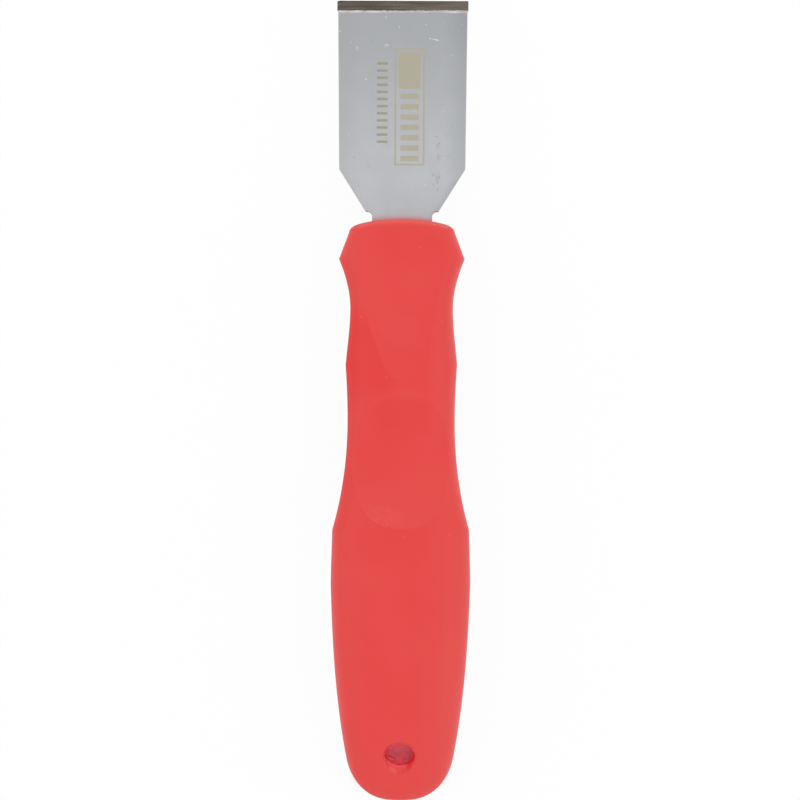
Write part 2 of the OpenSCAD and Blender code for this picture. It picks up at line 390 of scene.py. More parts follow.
def make_handle():
    """The handle's skin, with the hang hole bored and the mouth of the tang's slot opened."""
    handle = make_piece("handle_moulding", *handle_mesh(), "handle_plastic", "handle")
    levels = MID_Z + LEVEL * BORE_RINGS
    carve(handle, *cylinder_mesh(0, FRONT_Y - HOLE_AT, levels, HOLE_R, BORE_COLUMNS))
    half = NECK_HALF + SLOT_GAP
    slot_low = [-half, FRONT_Y - FACE_AT - SLOT_DEPTH, BLADE_LOW[2] - SLOT_GAP]
    slot_high = [half, FRONT_Y - FACE_AT + SLOT_AHEAD, BLADE_HIGH[2] + SLOT_GAP]
    carve(handle, *box_mesh(slot_low, slot_high))
    smooth(handle, sharp_degrees=40)
    return handle


# Blade, solder and carbide: sizes

# How close together points of the CAD plate are one point, and the width of its broken edges
SAME_POINT = 0.005
BROKEN_EDGE = 0.12

# Solder bead: how far it reaches behind the strip, what it loses soon after its left end and more
# slowly towards the right one, how ragged it is, its least reach, and how far it stays inside the layer
BEAD_REACH = 0.50
BEAD_LOSS = 0.11
BEAD_LOSS_SHARE = 0.15
BEAD_SLOW_LOSS = 0.08
BEAD_RAGGED = 0.07
BEAD_LEAST = 0.16
BEAD_INSIDE = 0.005

# The bead's height over the steel, its lumps, its least height over the strip, how deep its foot is
# sunk, and how far it covers the strip, which grows towards the right end
BEAD_RISE = 0.09
BEAD_LUMPS = 0.02
BEAD_PROUD = 0.01
BEAD_SUNK = 0.004
COVER = 0.02
COVER_GAIN = 0.10
COVER_RAGGED = 0.04
COVER_LEAST = 0.01

# Carbide strip: small flats on its upper edges, relief under the cutting edge, nibbles and a chip
STRIP_FLAT = 0.06
STRIP_RELIEF = 0.25
NIBBLE = 0.02
CHIP = 0.16
CHIP_LEN = 0.4
CHIP_CURVE = 0.7


def make_blade():
    """The steel plate with its edges broken: the CAD plate's own outline, merged and bevelled."""
    blade = put_in_scene("blade_plate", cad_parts["blade"].data.copy())
    merge = blade.modifiers.new("merge", "WELD")
    merge.merge_threshold = SAME_POINT * MM
    flat = blade.modifiers.new("flat", "DECIMATE")
    flat.decimate_type = "DISSOLVE"
    flat.angle_limit = np.radians(1)
    broken = blade.modifiers.new("broken", "BEVEL")
    broken.width = BROKEN_EDGE * MM
    broken.segments = 2
    broken.limit_method = "ANGLE"
    broken.angle_limit = np.radians(50)
    baked(blade)
    dress(blade, "blade")
    return blade


def wobble(x, waves, seed):
    """A smooth uneven line: a sine for each length in waves, with a seeded phase, all added up.

    The sum is divided by the root of their number.
    """
    phase = np.random.default_rng(seed).uniform(0, 2 * np.pi, len(waves))
    return sum(np.sin(2 * np.pi * x / w + p) for w, p in zip(waves, phase)) / np.sqrt(len(waves))


def make_seam(stations=400, bends=6):
    """The solder: a profile carried along X, whose bead swells and thins where the solder ran."""
    x = np.linspace(SEAM_LOW[0], SEAM_HIGH[0], stations)
    share = (x - x[0]) / (x[-1] - x[0])
    front, rear = SEAM_HIGH[1], SEAM_LOW[1]
    strip_rear, strip_top = TIP_LOW[1], TIP_HIGH[2]
    steel_top = BLADE_HIGH[2]
    foot = steel_top - BEAD_SUNK
    reach = BEAD_REACH - BEAD_LOSS * np.clip(share / BEAD_LOSS_SHARE, 0, 1) - BEAD_SLOW_LOSS * share ** 2
    reach = reach + BEAD_RAGGED * wobble(x, (9.1, 4.3, 2.2, 1.1), seed=4)
    bead_rear = np.clip(strip_rear - reach, rear + BEAD_INSIDE, strip_rear - BEAD_LEAST)
    bead_top = steel_top + BEAD_RISE + BEAD_LUMPS * wobble(x, (3.7, 1.7, 0.8), seed=9)
    bead_top = np.clip(bead_top, strip_top + BEAD_PROUD, SEAM_HIGH[2])
    cover = COVER + COVER_GAIN * share ** 3 + COVER_RAGGED * wobble(x, (6.3, 2.9, 1.3), seed=5)
    cover = np.clip(cover, COVER_LEAST, None)
    profile = [
        (front, SEAM_LOW[2]),
        (front, TIP_LOW[2]),
        (strip_rear, TIP_LOW[2]),
        (strip_rear, strip_top),
        (strip_rear + cover, strip_top),
    ]
    for bend in np.radians(np.linspace(0, 90, bends)):
        y = strip_rear - (strip_rear - bead_rear) * (1 - np.cos(bend))
        z = foot + (bead_top - steel_top) * (1 - np.sin(bend))
        profile.append((y, z))
    profile += [(rear, foot), (rear, SEAM_LOW[2])]
    seam = make_piece("solder_seam", *carried_along_x(x, profile), "solder", "braze_seam")
    smooth(seam, sharp_degrees=35)
    return seam


def make_strip(stations=240):
    """The carbide: its ground profile, with flats on the edges, carried along X, and a corner chipped."""
    x = np.linspace(TIP_LOW[0], TIP_HIGH[0], stations)
    front, rear = TIP_HIGH[1], TIP_LOW[1]
    low, high = TIP_LOW[2], TIP_HIGH[2]
    chip = CHIP * np.clip(1 - (x - x[0]) / CHIP_LEN, 0, 1) ** CHIP_CURVE
    nibble = NIBBLE * np.clip(wobble(x, (2.3, 0.9, 0.45), seed=21), 0, 1)
    edge = front - chip - nibble
    profile = [
        (edge, high - STRIP_FLAT),
        (edge - STRIP_FLAT, high),
        (rear + STRIP_FLAT, high),
        (rear, high - STRIP_FLAT),
        (rear, low),
        (edge - STRIP_RELIEF, low),
    ]
    strip = make_piece("carbide_strip", *carried_along_x(x, profile), "carbide", "carbide_tip")
    smooth(strip, sharp_degrees=20)
    return strip


# Finishes: shader maths written as formulas

class Field:
    """One value over a surface, so that a formula on fields adds the Math nodes it needs."""

    def __init__(self, nodes, socket):
        self.nodes = nodes
        self.socket = socket

    def maths(self, operation, *others):
        """A Math node with this operation, on this field and the others."""
        values = dict(enumerate([self, *others]))
        return self.nodes.node("ShaderNodeMath", {"operation": operation}, values)

    def __add__(self, other):
        return self.maths("ADD", other)

    def __mul__(self, other):
        return self.maths("MULTIPLY", other)

    def __sub__(self, other):
        return self.maths("SUBTRACT", other)

    def __rsub__(self, other):
        return (self * -1) + other

    def __truediv__(self, other):
        return self.maths("DIVIDE", other)

    def __abs__(self):
        return self.maths("ABSOLUTE")

    __radd__ = __add__
    __rmul__ = __mul__

    def ramp(self, low, high):
        """0 below low, 1 above high, smooth between; the other way round if low is the higher."""
        turned = low > high
        start, end = (high, low) if turned else (low, high)
        first, last = (1, 0) if turned else (0, 1)
        return self.nodes.node(
            "ShaderNodeMapRange", {"interpolation_type": "SMOOTHSTEP", "clamp": True},
            {"Value": self, "From Min": start, "From Max": end, "To Min": first, "To Max": last})

    def band(self, none, full, full_to, none_from):
        """0 below none, 1 from full to full_to, and 0 again above none_from."""
        return self.ramp(none, full) * self.ramp(none_from, full_to)


class Nodes:
    """A node tree under construction."""

    def __init__(self, tree):
        self.tree = tree

    def put(self, socket, value):
        """Gives a socket a plain value, or links a field or another node's socket to it."""
        source = value.socket if isinstance(value, Field) else value
        if isinstance(source, bpy.types.NodeSocket):
            self.tree.links.new(source, socket)
        else:
            socket.default_value = value

    def raw(self, kind, settings, values):
        """A node of a kind, its settings set first and then its sockets' values or links."""
        made = self.tree.nodes.new(kind)
        for key, value in settings.items():
            setattr(made, key, value)
        for key, value in values.items():
            self.put(made.inputs[key], value)
        return made

    def node(self, kind, settings, values, out=0):
        """The same, as a field of one of the node's outputs."""
        return Field(self, self.raw(kind, settings, values).outputs[out])

    def rays(self):
        """Fields that are 1 for what the camera sees, for what gloss shows and for what shows through."""
        path = self.raw("ShaderNodeLightPath", {}, {}).outputs
        return [Field(self, path[f"Is {kind} Ray"]) for kind in ("Camera", "Glossy", "Transmission")]

    def show_mix(self, share, first, second, output):
        """Sends one shader, turning to the second as share goes to 1, to the tree's output node."""
        mixed = self.raw("ShaderNodeMixShader", {}, {0: share, 1: first.outputs[0], 2: second.outputs[0]})
        self.put(self.tree.nodes[output].inputs[0], mixed.outputs[0])


class Finish(Nodes):
    """A material under construction, with the place on the surface as the fields x, y, z and back."""

    def __init__(self, name, **constants):
        self.material = bpy.data.materials.new(name)
        self.material.use_nodes = True
        super().__init__(self.material.node_tree)
        self.shader = self.tree.nodes["Principled BSDF"]
        self.feed(constants)
        place = self.tree.nodes.new("ShaderNodeTexCoord").outputs["Object"]
        self.place = self.node("ShaderNodeVectorMath", {"operation": "SCALE"}, {0: place, "Scale": 1 / MM})
        parts = self.raw("ShaderNodeSeparateXYZ", {}, {0: self.place}).outputs
        self.x, self.y, self.z = (Field(self, part) for part in parts)
        self.back = FRONT_Y - self.y

    def feed(self, values):
        """Gives the shader's sockets values or fields, by names in which _ stands for a space."""
        for name, value in values.items():
            self.put(self.shader.inputs[name.replace("_", " ")], value)

    def finish(self, **fields):
        """The material, once these sockets are fed."""
        self.feed(fields)
        return self.material

    def noise(self, size, detail, stretch=(1, 1, 1), seed=0.0):
        """Fractal noise, centred on 0.5, with features of about that size in millimetres.

        Each axis is squeezed by its number in stretch, and the seed shifts the pattern in plan.
        """
        scale = tuple(s / size for s in stretch)
        shift = (seed, 3.1 * seed, 0)
        spot = self.node(
            "ShaderNodeMapping", {}, {"Vector": self.place, "Location": shift, "Scale": scale})
        return self.node("ShaderNodeTexNoise", {}, {"Vector": spot, "Scale": 1.0, "Detail": detail})

    def box(self, centre, half, soft=0.05):
        """1 inside an upright box in plan, given in x and back, 0 outside."""
        across = abs(self.x - centre[0]).ramp(half[0] + soft, half[0] - soft)
        down = abs(self.back - centre[1]).ramp(half[1] + soft, half[1] - soft)
        return across * down

    def spots(self, places, half, stretch=1.0):
        """1 in small ragged dabs at places in x and back, as long as stretch times their width."""
        kind, measure = "ShaderNodeVectorMath", {"operation": "DISTANCE"}
        flat = self.node(kind, {"operation": "MULTIPLY"}, {0: self.place, 1: (1, 1 / stretch, 0)})
        near = None
        for x, back in places:
            spot = (x, (FRONT_Y - back) / stretch, 0)
            away = self.node(kind, measure, {0: flat, 1: spot}, out="Value")
            near = away if near is None else near.maths("MINIMUM", away)
        ragged = self.noise(0.35, 1, seed=23.0) * half
        return (near + ragged).ramp(half * 1.9, half * 0.9)

    def line(self, start, end, half):
        """1 along a thin straight line in plan between two places given in x and back."""
        a, b = np.array(start), np.array(end)
        span = np.linalg.norm(b - a)
        ux, ub = (b - a) / span
        along_it = (self.x - a[0]) * ux + (self.back - a[1]) * ub
        off_it = (self.x - a[0]) * ub - (self.back - a[1]) * ux
        ends = abs(along_it - span / 2).ramp(span / 2, span / 2 - 0.2)
        return abs(off_it).ramp(half, half * 0.4) * ends

    def blend(self, share, first, second):
        """Colour first, turning to second as share goes to 1. Mix takes colours at 6 and 7, out at 2."""
        return self.node(
            "ShaderNodeMix", {"data_type": "RGBA", "clamp_factor": True},
            {0: share, 6: first, 7: second}, out=2)

    def bump(self, height, depth):
        """Normal from a height field of 0 to 1, worth depth millimetres."""
        return self.node("ShaderNodeBump", {}, {"Height": height, "Distance": depth * MM, "Strength": 1.0})


def colour(red, green, blue):
    """A colour written as it looks on a screen, 0 to 255, as Blender's linear value."""
    c = np.array([red, green, blue]) / 255
    linear = np.where(c <= 0.04045, c / 12.92, ((c + 0.055) / 1.055) ** 2.4)
    return (*linear.tolist(), 1.0)


# Handle: finishes

# Painted highlight and painted shade on the handle: a paler red and a fuller red
PAINTED_LIGHT_RED = colour(240, 170, 160)
PAINTED_SHADE_RED = colour(224, 40, 38)

# Painted glints on the front rim, pale specks on the handle's upper side, and a scuff with its half size:
# places in x and back
RIM_GLINTS = ((7.45, 52.4), (10.2, 53.0))
HANDLE_SPECKS = ((4.1, 57.6), (-9.4, 73.6), (-3.5, 87.4), (9.3, 74.6), (0.9, 124.0), (11.2, 123.5))
SCUFF_AT = (-3.6, 119.5)
SCUFF_HALF = (3.4, 2.0)

# A hollow radius that is all but flat, yet small enough to square in a shader's single precision
SHADER_FLAT_R = 1e3


def cut_gap(f, start, span, depth, hollow_r):
    """Height of a cut's barrel (see cut_height) over the skin: nothing in the cut, growing outside it."""
    radius = arc_r(span, depth)
    barrel = (hollow_r ** 2 - f.x * f.x).maths("SQRT") + (radius - hollow_r)
    away = f.back - (start + span / 2)
    rise = (barrel * barrel - away * away).maths("MAXIMUM", 0).maths("SQRT")
    return (LEVEL - depth + radius) - rise - abs(f.z - MID_Z)


def behind_face(f):
    """Distance back from the handle's bowed front face."""
    return f.back - FACE_AT - f.x * f.x * (FACE_BOW / FACE_HALF ** 2)


def paint_plastic_highlights(f, base, gap, in_dish):
    """Painted highlights, a little paler: the dish's rear end and crease, the belly's flank, the rear and a
    corner.
    """
    rear_end = f.back.ramp(DISH_START + 17, DISH_START + 29)
    front_crease = f.back.ramp(DISH_START + 8, DISH_START + 4) * f.x.ramp(-10, -5)
    rear_crease = f.back.ramp(DISH_START + 27, DISH_START + 31) * f.x.ramp(1, 4)
    crease = gap.band(0.03, 0.09, 0.15, 0.45) * (front_crease * 0.011 + rear_crease * 0.012)
    flank = f.back.band(SHOULDER_AT - 1.1, BELLY_AT + 10.1, HOLE_AT - 1.2, END_AT + 0.6)
    flank = flank * f.x.ramp(6.5, 12)
    rear = f.x.ramp(3.5, 6.5) * f.back.ramp(BELLY_AT + 8.1, BELLY_AT + 22.1)
    corner = f.z.ramp(MID_Z + 8.5, MID_Z + 4) * f.back.ramp(HOLE_AT - 3.2, HOLE_AT + 2.8)
    corner = corner * (0.02 + 0.025 * f.x.ramp(-2, 4))
    # painted highlights where light falls on these places
    painted_light_share = in_dish * rear_end * 0.02 + crease + flank * 0.022 + rear * 0.012 + corner
    return f.blend(painted_light_share, base, PAINTED_LIGHT_RED)


def paint_shade_in_cuts(f, base, in_dish):
    """Painted shade, a fuller red, in the dish's front end, on the finger ridge and round the dish's rear
    end.

    The slope up to the ridge is a little paler, a painted highlight.
    """
    front_end = f.back.band(DISH_START + 0.5, DISH_START + 2.5, DISH_START + 6, DISH_START + 13)
    middle = abs(f.x - 0.6).ramp(8, 4.5)
    base = f.blend(in_dish * middle * front_end * 0.27, base, PAINTED_SHADE_RED)
    groove = cut_gap(f, GROOVE_START, GROOVE_LEN, GROOVE_DEPTH, SHADER_FLAT_R)
    past_groove = groove.ramp(0.04, 0.14)
    # painted highlight on the slope up to the finger ridge
    slope = (1 - past_groove) * f.box((0.2, RIDGE_AT - 7.8), (4, 3), 3)
    base = f.blend(slope * 0.022, base, PAINTED_LIGHT_RED)
    # painted shade on the finger ridge and round the dish's rear end
    ridge = f.back.band(WAIST_AT - 2.8, WAIST_AT + 6.2, RIDGE_AT + 2.2, GRIP_AT + 0.3) * past_groove
    ridge = ridge * (0.33 * f.x.ramp(0, -5) + 0.15 * f.x.ramp(-5.5, -9.5) + 0.2 * f.x.ramp(8, 4))
    round_rear = f.back.band(DISH_END - 17.3, DISH_END - 10.3, DISH_END + 1.7, DISH_END + 11.7)
    round_rear = round_rear * f.x.ramp(9, 3)
    return f.blend((1 - in_dish) * (ridge + round_rear * 0.2), base, PAINTED_SHADE_RED)


def paint_rim_light_and_shade(f, base):
    """The front rim painted paler on top, a painted highlight, more so at its ends, which have a dark line
    of painted shade at the face.
    """
    behind = behind_face(f)
    off_axis = abs(f.x)
    roll = abs(f.z - MID_Z).ramp(7.4, 8.6)
    # painted highlight on the rim's roll
    rim = behind.ramp(1.7, -0.2) * (0.28 + 0.22 * off_axis.ramp(6, 11))
    base = f.blend(rim * roll, base, colour(236, 140, 130))
    # painted shade: a dark line along the face's edge
    edge = behind.ramp(0.32, 0.1) * off_axis.ramp(4.5, 6.2) * f.z.ramp(MID_Z, MID_Z + 1)
    return f.blend(edge * roll * 0.3, base, colour(184, 52, 49))


def hole_lips(f):
    """The rim of the hang hole: painted light behind the hole, and painted shade on the left in front of
    its middle, which is also duller.
    """
    past_hole = f.back - HOLE_AT
    off_hole = (f.x * f.x + past_hole * past_hole).maths("SQRT")
    lit = off_hole.ramp(HOLE_R + 0.55, HOLE_R) * past_hole.ramp(0, 2)
    dull = off_hole.ramp(HOLE_R + 0.6, HOLE_R + 0.1) * f.x.ramp(-1.5, -2.5) * past_hole.ramp(0, -2)
    return lit, dull


def red_plastic():
    """Satin moulded red: fine grain, a parting line, painted highlights and painted shade, a scuff, specks
    and painted glints.
    """
    f = Finish("red_plastic", IOR=1.46)
    patches = f.noise(14, 3, seed=2.0)
    fine = f.noise(1.6, 4, seed=5.0)
    base = f.blend(patches.ramp(0.3, 0.7), colour(224, 57, 54), colour(225, 61, 57))
    gap = cut_gap(f, DISH_START, DISH_LEN, DISH_DEPTH, DISH_HOLLOW_R)
    in_dish = gap.ramp(0.12, 0.04)
    base = paint_plastic_highlights(f, base, gap, in_dish)
    base = paint_shade_in_cuts(f, base, in_dish)
    scuff = f.box(SCUFF_AT, SCUFF_HALF, 1.6) * f.noise(0.9, 3, seed=5.0).ramp(0.4, 0.7)
    base = f.blend(scuff * 0.09, base, colour(236, 140, 136))
    base = paint_rim_light_and_shade(f, base)
    painted_lip_light, painted_lip_shade = hole_lips(f)
    # painted light and painted shade on the hang hole's rim
    base = f.blend(painted_lip_light * 0.36, base, colour(255, 92, 88))
    base = f.blend(painted_lip_shade * 0.65, base, colour(186, 54, 52))
    # painted glints on the front rim, and pale specks on the handle
    specks = f.spots(RIM_GLINTS, 0.16) * 0.35 + f.spots(HANDLE_SPECKS, 0.12) * 0.25
    base = f.blend(specks * f.z.ramp(MID_Z, MID_Z + 1), base, colour(244, 190, 184))
    grain = f.noise(0.22, 2, seed=8.0)
    parting = abs(f.z - MID_Z).ramp(0.16, 0.05)
    height = grain * 0.25 + parting * 0.75
    rough = 0.46 + 0.08 * fine + 0.12 * scuff + 0.3 * painted_lip_shade
    return f.finish(Base_Color=base, Roughness=rough, Normal=f.bump(height, 0.02))


def bore_painted_light_and_shade():
    """The same plastic left matt in the hang hole, painted paler with light, more at the top and low down,
    with painted shade deeper red low on its sides and a painted highlight in a stripe.
    """
    f = Finish("bore_painted_light_and_shade", Roughness=0.95, Specular_IOR_Level=0.05)
    base = f.blend(f.z.ramp(14, 17.5), colour(215, 94, 94), colour(225, 101, 99))
    base = f.blend(f.z.ramp(8, 3) * 0.6, base, colour(255, 132, 134))
    # painted shade, deeper red, low on both sides
    right = f.x.ramp(0.9, 2.5) * f.z.ramp(16.5, 9)
    left = f.x.ramp(-2.4, -3.3) * f.z.ramp(13, 6)
    deep = f.blend(f.z.ramp(3, 9), colour(207, 58, 61), colour(219, 55, 58))
    base = f.blend(right + left, base, deep)
    # painted highlight: a pale stripe down the bore
    rubbed = abs(f.x + 1.6).ramp(1.3, 0.3) * f.z.ramp(9, 14)
    return f.finish(Base_Color=f.blend(rubbed, base, colour(222, 120, 118)))


# Blade, solder and carbide: finishes

# Wear on the steel: places in x and back
PALE_SPECKS = ((-0.8, 6.1), (-3.9, 3.8), (-14.5, 7.1), (-8.5, 18.2), (5.4, 5.5), (9.6, 36.5), (5.3, 42.8))
PALE_PATCHES = ((-3.7, 10.4), (-10.5, 11.1))
DARK_NICKS = ((8.0, 31.4), (8.5, 33.1), (8.3, 35.9), (7.3, 40.3), (8.0, 40.7), (8.7, 40.9), (8.2, 43.7),
              (11.6, 29.4), (-7.9, 38.4), (-11.1, 36.3), (-10.1, 43.0), (-7.3, 9.4))
SCRATCH_FROM = (6.05, 8.7)
SCRATCH_TO = (8.45, 9.15)

# Rubbed patches on the steel's right: centre in x and back, half size, softness
RUBBED_PATCHES = (((8.3, 33.8), (0.5, 3.2), 0.5), ((7.9, 41.5), (1.1, 1.6), 0.8))

# The blade's taper: its start, its length, half the blade's width at either end, and the notches' start
TAPER_AT = 39
TAPER_LEN = 9.9
TAPER_HALF = 14.65
TAPER_END_HALF = 8.45
NOTCH_AT = 48.2

# Generic etched marks: a frame round a field and bars, and a column of scale ticks beside it, with
# centres in x and back, half sizes, the frame's line, and the pitch that repeats
FRAME_AT = (1.65, 24.6)
FRAME_HALF = (3.5, 13.6)
FRAME_LINE = 0.4
FIELD_AT = (FRAME_AT[0], FRAME_AT[1] - 8.4)
FIELD_HALF = (2.5, 4.2)
BARS_AT = (FRAME_AT[0], FRAME_AT[1] + 4.3)
BARS_HALF = (2.1, 8.5)
BARS_FROM = 20.4
BAR_PITCH = 2.4
TICKS_AT = (-4.7, 23.8)
TICKS_HALF = (1.25, 9.7)
TICK_PITCH = 1.65

# A pit near the carbide's left front corner, in x and back
CARBIDE_PIT = (-14.35, 0.35)


def steel_tones(f, cloud, grain):
    """Steel that brightens towards the neck, with painted shade greying its sides and the taper's right
    edge.
    """
    base = f.blend(f.back.ramp(2, 42), colour(170, 172, 176), colour(190, 192, 196))
    # painted shade along the sides and beside the taper
    base = f.blend(f.x.ramp(9, 15) * (0.35 + 0.25 * f.back.ramp(14, 4)), base, colour(150, 152, 155))
    base = f.blend(f.x.ramp(-9, -15) * 0.3, base, colour(166, 165, 163))
    taper_edge = TAPER_HALF - (f.back - TAPER_AT) * (TAPER_HALF - TAPER_END_HALF) / TAPER_LEN
    beside_taper = (taper_edge - f.x).ramp(2.2, 0.3) * f.back.ramp(TAPER_AT + 1, TAPER_AT + 4)
    base = f.blend(beside_taper * 0.3, base, colour(150, 155, 156))
    return f.blend(cloud.ramp(0.35, 0.65) * 0.12 + grain * 0.10, base, colour(160, 163, 166))


def wear_steel(f, base, top):
    """Pale specks and a scratch, and on the upper face pale dabs, flecked patches, scuffs and nicks."""
    specks = f.noise(0.42, 1, seed=7.0).ramp(0.74, 0.78) * f.noise(2.5, 1, seed=9.0).ramp(0.5, 0.6)
    scratch = f.line(SCRATCH_FROM, SCRATCH_TO, 0.13) * f.noise(0.5, 1, seed=15.0).ramp(0.3, 0.5)
    flecks = f.noise(0.3, 2, seed=41.0).ramp(0.48, 0.62)
    dabs = top * (f.spots(PALE_SPECKS, 0.14) + 0.7 * flecks * f.spots(PALE_PATCHES, 0.5))
    base = f.blend(specks * 0.8 + scratch + dabs * 0.8, base, colour(228, 230, 232))
    rubbed = f.noise(0.6, 2, stretch=(1, 0.5, 1), seed=17.0).ramp(0.52, 0.66)
    scuffs = rubbed * sum(f.box(*patch) for patch in RUBBED_PATCHES)
    nicks = f.spots(DARK_NICKS, 0.16, 1.8)
    return f.blend(top * (scuffs * 0.30 + nicks * 0.45), base, colour(140, 143, 150))


def etch_steel(f, base, top):
    """The generic marks, etched beige and patchily worn."""
    inner_half = [half - FRAME_LINE for half in FRAME_HALF]
    frame_line = f.box(FRAME_AT, FRAME_HALF) - f.box(FRAME_AT, inner_half)
    field = f.box(FIELD_AT, FIELD_HALF)
    bars = ((f.back - BARS_FROM) / BAR_PITCH).maths("FRACT").ramp(0.44, 0.50) * f.box(BARS_AT, BARS_HALF)
    ticks = (f.back / TICK_PITCH).maths("FRACT").ramp(0.60, 0.68) * f.box(TICKS_AT, TICKS_HALF)
    patchy = f.noise(0.7, 2, seed=13.0).ramp(0.25, 0.45)
    left_on = top * (0.7 + 0.3 * patchy) * 0.85
    base = f.blend((frame_line + field + bars) * left_on, base, colour(178, 170, 147))
    return f.blend(ticks * left_on, base, colour(157, 152, 122))


def ground_steel():
    """Satin steel: cross grain, wear, etched marks, duller cut edges with painted light, and a painted
    reflection of the handle.
    """
    f = Finish("ground_steel")
    top = f.z.ramp(BLADE_HIGH[2] - 0.1, BLADE_HIGH[2] - 0.04)
    cloud = f.noise(5.0, 3, seed=1.0)
    grain = f.noise(0.35, 3, stretch=(0.12, 1, 1), seed=4.0)
    base = steel_tones(f, cloud, grain)
    base = wear_steel(f, base, top)
    base = etch_steel(f, base, top)
    # painted reflection of the red handle on the steel beside its face
    painted_red_light = top * behind_face(f).ramp(-1.7, 0)
    base = f.blend(painted_red_light * 0.66, base, colour(206, 92, 98))
    # Cut edges: duller, and painted lighter, with painted light in the notch that offsets the handle's red
    # reflection
    notch = f.back.ramp(NOTCH_AT, NOTCH_AT + 0.5)
    edges = f.blend(notch, colour(196, 198, 201), colour(205, 222, 224))
    base = f.blend(1 - top, base, edges)
    rough = 0.34 + 0.10 * cloud + 0.2 * (1 - top)
    metal = 0.4 + 0.6 * top - 0.3 * notch * (1 - top)
    height = grain * 0.6 + cloud * 0.4
    return f.finish(Base_Color=base, Roughness=rough, Metallic=metal, Normal=f.bump(height, 0.004))


def bright_solder():
    """Silver solder, bright and lumpy."""
    f = Finish("bright_solder", Metallic=1.0)
    lumps = f.noise(0.5, 3, seed=3.0)
    runs = f.noise(2.6, 2, seed=31.0).ramp(0.38, 0.62)
    base = f.blend(lumps * 0.6 + runs * 0.4, colour(226, 223, 222), colour(164, 160, 160))
    return f.finish(Base_Color=base, Roughness=0.25 + 0.2 * lumps, Normal=f.bump(lumps, 0.03))


def ground_carbide():
    """Dark sintered carbide: grinding streaks, pores, a darker front edge, a painted shadow along the rear
    edge on its left, a black pit near a corner.
    """
    f = Finish("ground_carbide", Metallic=0.55)
    streaks = f.noise(1.2, 3, stretch=(0.12, 1.6, 1), seed=6.0)
    pores = f.noise(0.25, 2, seed=12.0)
    base = f.blend(streaks.ramp(0.3, 0.7), colour(81, 73, 64), colour(110, 102, 91))
    base = f.blend(f.x.ramp(0, 15) * 0.3, base, colour(126, 117, 108))
    base = f.blend(f.back.ramp(0.5, 0.1) * 0.35, base, colour(66, 58, 50))
    # painted shadow along the rear edge's left part
    base = f.blend(f.back.ramp(1.9, 2.15) * f.x.ramp(5, -5) * 0.5, base, colour(58, 50, 44))
    base = f.blend(pores.ramp(0.55, 0.75) * 0.4, base, colour(76, 68, 61))
    base = f.blend(f.spots([CARBIDE_PIT], 0.2), base, colour(24, 20, 18))
    height = streaks * 0.5 + pores * 0.5
    return f.finish(Base_Color=base, Roughness=0.42 + 0.12 * streaks, Normal=f.bump(height, 0.006))


# Studio: sizes and light

WHITE = (1, 1, 1, 1)

# Floor: half its width, how far it is below the tool, the share of plain light in what it shows, its
# paper, and the handle's red light painted into what gloss sees beside it
FLOOR_HALF = 900
FLOOR_DROP = 0.02
FLOOR_GLOW = 0.95
FLOOR_PAPER = (0.9, 0.9, 0.9, 1)
FLOOR_PAINTED_RED_LIGHT = (0.9, 0.15, 0.15, 1)

# Disc standing for the paper in the hang hole, painted with its shade and red light: its height, size and
# points, and its linear colours from front to rear
PAPER_Z = 1.3
PAPER_R = HOLE_R + 0.08
PAPER_POINTS = 64
PAPER_FRONT = (0.67, 0.22, 0.30, 1)
PAPER_MIDDLE = (0.53, 0.155, 0.205, 1)
PAPER_REAR = (0.74, 0.12, 0.15, 1)
PAPER_SIDES = (0.85, 0.15, 0.175, 1)
PAPER_CREASE_LIGHT = (0.88, 0.26, 0.35, 1)
PAPER_FOLD_SHADE = (0.40, 0.04, 0.06, 1)
PAPER_RIDGE_LIGHT = (1.0, 0.34, 0.42, 1)

# Strength of the even light all round, and the soft lamps: place and size in metres, and watts
AMBIENT = 0.94
LAMPS = (
    ("front", (0.05, 0.75, 0.62), 0.35, 0.3),
    ("rear", (0.05, -0.75, 0.62), 0.35, 0.25),
    ("right", (0.80, 0.05, 0.55), 0.35, 0.5),
    ("left", (-0.80, 0.05, 0.55), 0.35, 0.45),
    ("low", (0.0, 0.95, 0.10), 0.3, 0.5),
)

# Lamps down the hang hole, a little off its axis
BORE_LAMP_HEIGHTS = (5.3, 9, 13.7)
BORE_LAMP_OFF = (-0.2, -0.9)
BORE_LAMP_R = 0.5
BORE_LAMP_WATTS = 1.35e-4

# Camera: its height over the mid plane and its sensor's width
CAMERA_AWAY = 625
SENSOR = 36

# Photograph: its width in pixels, millimetres a pixel at the mid plane, the pixel at the tool's middle,
# and how far it was turned, in degrees
IMAGE = 800
PIXEL = 0.2324
PHOTO_CENTRE_X = 401.2
PHOTO_CENTRE_Y = 400.35
PHOTO_ROLL = 0.25


def give(piece, *materials):
    """Makes these a piece's only materials."""
    piece.data.materials.clear()
    for material in materials:
        piece.data.materials.append(material)


